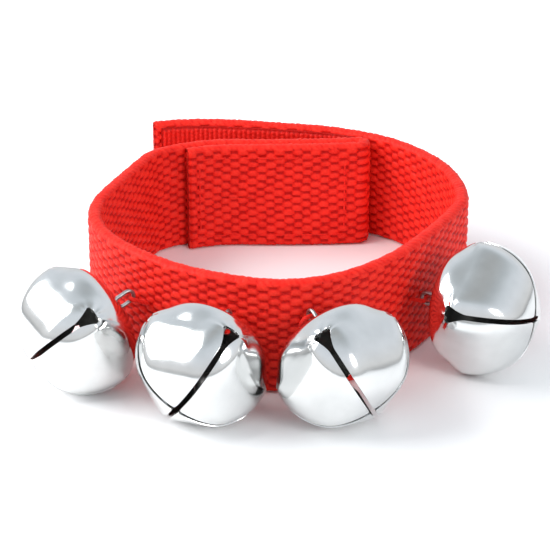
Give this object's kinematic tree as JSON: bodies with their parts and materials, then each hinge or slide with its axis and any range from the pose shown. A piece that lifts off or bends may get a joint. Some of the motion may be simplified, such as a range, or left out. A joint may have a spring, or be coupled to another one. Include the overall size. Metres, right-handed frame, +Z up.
{
  "type": "sleigh bells",
  "caption": "Wrist band of woven webbing bent into a ring and closed by hook and loop tape, with slit round bells that hang by wire loops from thread ties.",
  "frame": {"origin": "middle of the wrist opening, in the plane of the edge that the band stands on", "axes": "+Z up along the wrist opening's axis, -Y to the side that carries the bells, +X to the right as seen from that side"},
  "size_m": [0.0843, 0.0873, 0.0216],
  "materials": {
    "webbing": "woven, satin",
    "hook_and_loop_tape": "woven, matt",
    "thread": "twisted thread",
    "bell_shell": "nickel plated, polished",
    "bell_wire": "nickel plated wire",
    "clapper_ball": "plain steel"
  },
  "bodies": {
    "band": {"webbing_front": "webbing", "thread_tie_1": "thread", "thread_tie_2": "thread", "thread_tie_3": "thread", "thread_tie_4": "thread"},
    "outer_arm": {"webbing_outer_arm": "webbing", "hook_tape": "hook_and_loop_tape", "hook_tape_stitching": "thread"},
    "inner_arm": {"webbing_inner_arm": "webbing", "loop_tape": "hook_and_loop_tape", "loop_tape_stitching": "thread"},
    "loop_1": {"bell_loop_1": "bell_wire"},
    "bell_1": {"bell_shell_1": "bell_shell"},
    "clapper_1": {"clapper_1": "clapper_ball"},
    "loop_2": {"bell_loop_2": "bell_wire"},
    "bell_2": {"bell_shell_2": "bell_shell"},
    "clapper_2": {"clapper_2": "clapper_ball"},
    "loop_3": {"bell_loop_3": "bell_wire"},
    "bell_3": {"bell_shell_3": "bell_shell"},
    "clapper_3": {"clapper_3": "clapper_ball"},
    "loop_4": {"bell_loop_4": "bell_wire"},
    "bell_4": {"bell_shell_4": "bell_shell"},
    "clapper_4": {"clapper_4": "clapper_ball"}
  },
  "joints": [
    {"name": "outer_arm_opening", "type": "hinge", "parent": "band", "child": "outer_arm", "pos_m": [0.032, 0, 0.01], "axis": [0, 0, -1], "range_deg": [0, 80]},
    {"name": "inner_arm_opening", "type": "hinge", "parent": "band", "child": "inner_arm", "pos_m": [-0.02889, 0.00097, 0.01], "axis": [0, 0, 1], "range_deg": [0, 28]},
    {"name": "bell_1_swing", "type": "hinge", "parent": "band", "child": "loop_1", "pos_m": [-0.0233, -0.02652, 0.0136], "axis": [-0.4848, 0.8746, 0], "range_deg": [0, 45]},
    {"name": "bell_1_swivel", "type": "hinge", "parent": "loop_1", "child": "bell_1", "pos_m": [-0.0303, -0.0304, 0.0102], "axis": [0.8051, 0.4463, 0.3907], "continuous": true},
    {"name": "clapper_1_roll", "type": "hinge", "parent": "bell_1", "child": "clapper_1", "pos_m": [-0.0303, -0.0304, 0.0102], "axis": [0.8051, 0.4463, 0.3907], "continuous": true},
    {"name": "bell_2_swing", "type": "hinge", "parent": "band", "child": "loop_2", "pos_m": [-0.00725, -0.03433, 0.01401], "axis": [-0.891, 0.454, 0], "range_deg": [0, 45]},
    {"name": "bell_2_swivel", "type": "hinge", "parent": "loop_2", "child": "bell_2", "pos_m": [-0.0108, -0.0413, 0.0102], "axis": [0.408, 0.8008, 0.4384], "continuous": true},
    {"name": "clapper_2_roll", "type": "hinge", "parent": "bell_2", "child": "clapper_2", "pos_m": [-0.0108, -0.0413, 0.0102], "axis": [0.408, 0.8008, 0.4384], "continuous": true},
    {"name": "bell_3_swing", "type": "hinge", "parent": "band", "child": "loop_3", "pos_m": [0.00589, -0.03555, 0.01475], "axis": [-0.829, -0.5592, 0], "range_deg": [0, 45]},
    {"name": "bell_3_swivel", "type": "hinge", "parent": "loop_3", "child": "bell_3", "pos_m": [0.0101, -0.0418, 0.0104], "axis": [-0.4843, 0.718, 0.5], "continuous": true},
    {"name": "clapper_3_roll", "type": "hinge", "parent": "bell_3", "child": "clapper_3", "pos_m": [0.0101, -0.0418, 0.0104], "axis": [-0.4843, 0.718, 0.5], "continuous": true},
    {"name": "bell_4_swing", "type": "hinge", "parent": "band", "child": "loop_4", "pos_m": [0.02492, -0.02102, 0.0105], "axis": [-0.4695, -0.8829, 0], "range_deg": [0, 30]},
    {"name": "bell_4_swivel", "type": "hinge", "parent": "loop_4", "child": "bell_4", "pos_m": [0.0326, -0.0251, 0.0108], "axis": [-0.8824, 0.4692, -0.0349], "continuous": true},
    {"name": "clapper_4_roll", "type": "hinge", "parent": "bell_4", "child": "clapper_4", "pos_m": [0.0326, -0.0251, 0.0108], "axis": [-0.8824, 0.4692, -0.0349], "continuous": true}
  ],
  "couplings": [
    {"joint": "inner_arm_opening", "follows": "outer_arm_opening", "ratio": 0.35}
  ]
}
